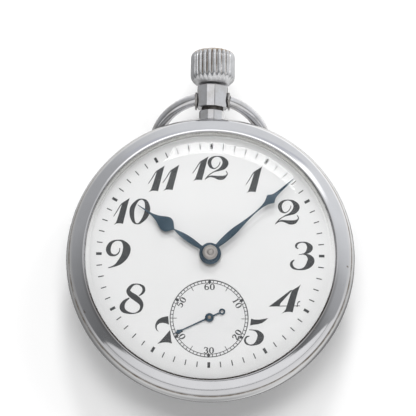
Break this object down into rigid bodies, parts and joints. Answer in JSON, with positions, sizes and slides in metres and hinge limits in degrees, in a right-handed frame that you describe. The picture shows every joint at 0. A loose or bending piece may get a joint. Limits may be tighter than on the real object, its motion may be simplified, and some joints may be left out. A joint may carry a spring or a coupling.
{
  "type": "pocket watch",
  "caption": "Round open face pocket watch with crown and bow at the top, small seconds dial, and a hand-wound lever movement inside.",
  "frame": {"origin": "centre of the case back's flat outer face", "axes": "+Z out through the dial, +Y to 12 o'clock and the crown, +X to 3 o'clock"},
  "size_m": [0.0506, 0.0629, 0.0214],
  "materials": {
    "case_steel": "polished, worn bright steel",
    "crystal": "clear, polished",
    "dial_white": "white, satin",
    "blued_steel": "blued, polished",
    "movement_steel": "ground steel",
    "plate_nickel": "nickel plated brass, fine ground",
    "wheel_brass": "gilt brass",
    "ruby": "polished red jewel"
  },
  "bodies": {
    "case": {"case_middle": "case_steel", "pendant": "case_steel", "case_screw_1": "blued_steel", "case_screw_2": "blued_steel", "dial": "dial_white", "dial_foot_screw_1": "blued_steel", "dial_foot_screw_2": "blued_steel", "mainplate": "plate_nickel", "barrel_bridge": "plate_nickel", "train_bridge": "plate_nickel", "pallet_bridge": "plate_nickel", "balance_cock": "plate_nickel", "barrel_bridge_screw_1": "blued_steel", "barrel_bridge_screw_2": "blued_steel", "train_bridge_screw": "blued_steel", "balance_cock_screw": "blued_steel", "jewel_third": "ruby", "jewel_fourth": "ruby", "jewel_escape": "ruby", "jewel_balance": "ruby", "hairspring": "blued_steel", "crown_wheel_screw": "blued_steel", "click_spring": "movement_steel", "setting_cover": "movement_steel", "setting_lever_screw": "blued_steel", "yoke_spring": "movement_steel"},
    "bezel_and_crystal": {"bezel": "case_steel", "crystal": "crystal"},
    "back": {"case_back": "case_steel"},
    "bow": {"bow": "case_steel"},
    "winding_pinion": {"winding_pinion": "movement_steel"},
    "stem_and_crown": {"stem": "movement_steel", "crown": "case_steel"},
    "clutch": {"clutch_wheel": "movement_steel"},
    "setting_lever": {"setting_lever": "movement_steel"},
    "yoke": {"yoke": "movement_steel"},
    "crown_wheel": {"crown_wheel": "movement_steel"},
    "ratchet": {"ratchet_wheel": "movement_steel", "ratchet_screw": "blued_steel", "barrel_arbor": "movement_steel"},
    "click": {"click": "movement_steel"},
    "center": {"center_wheel": "wheel_brass", "cannon_pinion": "movement_steel", "minute_hand": "blued_steel"},
    "barrel": {"barrel_drum": "wheel_brass", "barrel_cover": "wheel_brass", "mainspring": "movement_steel"},
    "third": {"third_wheel": "wheel_brass"},
    "fourth": {"fourth_wheel": "wheel_brass", "seconds_hand": "blued_steel"},
    "escape": {"escape_wheel": "movement_steel"},
    "minute_wheel": {"minute_wheel": "wheel_brass"},
    "hour": {"hour_wheel": "wheel_brass", "hour_hand": "blued_steel"},
    "setting_wheel": {"setting_wheel": "movement_steel"},
    "pallet": {"pallet_fork": "movement_steel"},
    "balance": {"balance_wheel": "wheel_brass", "balance_staff": "movement_steel", "roller_table": "movement_steel"},
    "regulator": {"regulator_index": "movement_steel"}
  },
  "joints": [
    {"name": "bow_swing", "type": "hinge", "parent": "case", "child": "bow", "pos_m": [0, 0.02825, 0.0045], "axis": [-1, 0, 0], "range_deg": [-270, 0]},
    {"name": "bezel_lift", "type": "slide", "parent": "case", "child": "bezel_and_crystal", "axis": [0, 0, 1], "range_m": [0, 0.008]},
    {"name": "back_lift", "type": "slide", "parent": "case", "child": "back", "axis": [0, 0, -1], "range_m": [0, 0.0006]},
    {"name": "crown_turn", "type": "hinge", "parent": "case", "child": "winding_pinion", "pos_m": [0, 0, 0.0045], "axis": [0, 1, 0], "continuous": true},
    {"name": "crown_pull", "type": "slide", "parent": "winding_pinion", "child": "stem_and_crown", "axis": [0, 1, 0], "range_m": [0, 0.0012]},
    {"name": "clutch_slide", "type": "slide", "parent": "winding_pinion", "child": "clutch", "axis": [0, 1, 0], "range_m": [-0.0009, 0]},
    {"name": "setting_lever_turn", "type": "hinge", "parent": "case", "child": "setting_lever", "pos_m": [0.0028, 0.0184, 0], "axis": [0, 0, -1], "range_deg": [0, 24.3]},
    {"name": "yoke_turn", "type": "hinge", "parent": "case", "child": "yoke", "pos_m": [-0.004, 0.01195, 0], "axis": [0, 0, -1], "range_deg": [0, 12.9]},
    {"name": "crown_wheel_turn", "type": "hinge", "parent": "case", "child": "crown_wheel", "pos_m": [0, 0.01217, 0], "axis": [0, 0, 1], "continuous": true},
    {"name": "ratchet_turn", "type": "hinge", "parent": "case", "child": "ratchet", "pos_m": [-0.00712, 0.00445, 0], "axis": [0, 0, 1], "continuous": true},
    {"name": "click_lift", "type": "hinge", "parent": "case", "child": "click", "pos_m": [-0.01515, 0.0086, 0], "axis": [0, 0, 1], "range_deg": [0, 9], "stiffness_Nm_per_rad": 0.00002, "springref_deg": -11.46},
    {"name": "center_turn", "type": "hinge", "parent": "case", "child": "center", "pos_m": [0, 0, 0], "axis": [0, 0, -1], "continuous": true},
    {"name": "barrel_turn", "type": "hinge", "parent": "case", "child": "barrel", "pos_m": [-0.00712, 0.00445, 0], "axis": [0, 0, -1], "continuous": true},
    {"name": "third_turn", "type": "hinge", "parent": "case", "child": "third", "pos_m": [0.00457, -0.00602, 0], "axis": [0, 0, -1], "continuous": true},
    {"name": "fourth_turn", "type": "hinge", "parent": "case", "child": "fourth", "pos_m": [0, -0.01105, 0], "axis": [0, 0, -1], "continuous": true},
    {"name": "escape_turn", "type": "hinge", "parent": "case", "child": "escape", "pos_m": [-0.00276, -0.01594, 0], "axis": [0, 0, -1], "continuous": true},
    {"name": "minute_wheel_turn", "type": "hinge", "parent": "case", "child": "minute_wheel", "pos_m": [0, 0.0036, 0], "axis": [0, 0, -1], "continuous": true},
    {"name": "hour_turn", "type": "hinge", "parent": "case", "child": "hour", "pos_m": [0, 0, 0], "axis": [0, 0, -1], "continuous": true},
    {"name": "setting_wheel_turn", "type": "hinge", "parent": "case", "child": "setting_wheel", "pos_m": [0, 0.00815, 0], "axis": [0, 0, -1], "continuous": true},
    {"name": "pallet_rock", "type": "hinge", "parent": "case", "child": "pallet", "pos_m": [-0.00521, -0.01365, 0], "axis": [0, 0, -1], "range_deg": [-5, 5]},
    {"name": "balance_swing", "type": "hinge", "parent": "case", "child": "balance", "pos_m": [-0.0089, -0.0102, 0], "axis": [0, 0, -1], "range_deg": [-270, 270], "stiffness_Nm_per_rad": 0.0000034},
    {"name": "regulator_shift", "type": "hinge", "parent": "case", "child": "regulator", "pos_m": [-0.0089, -0.0102, 0], "axis": [0, 0, -1], "range_deg": [-8, 8]}
  ],
  "couplings": [
    {"joint": "clutch_slide", "follows": "crown_pull", "ratio": -0.75},
    {"joint": "setting_lever_turn", "follows": "crown_pull", "rad_per_m": 352},
    {"joint": "yoke_turn", "follows": "crown_pull", "rad_per_m": 186.7},
    {"joint": "crown_wheel_turn", "follows": "crown_turn", "ratio": 0.61538},
    {"joint": "ratchet_turn", "follows": "crown_turn", "ratio": -0.36364},
    {"joint": "barrel_turn", "follows": "center_turn", "ratio": -0.16667},
    {"joint": "third_turn", "follows": "center_turn", "ratio": -8},
    {"joint": "fourth_turn", "follows": "center_turn", "ratio": 60},
    {"joint": "escape_turn", "follows": "center_turn", "ratio": -600},
    {"joint": "minute_wheel_turn", "follows": "center_turn", "ratio": -0.33333},
    {"joint": "hour_turn", "follows": "center_turn", "ratio": 0.083333},
    {"joint": "setting_wheel_turn", "follows": "center_turn", "ratio": 0.5}
  ]
}
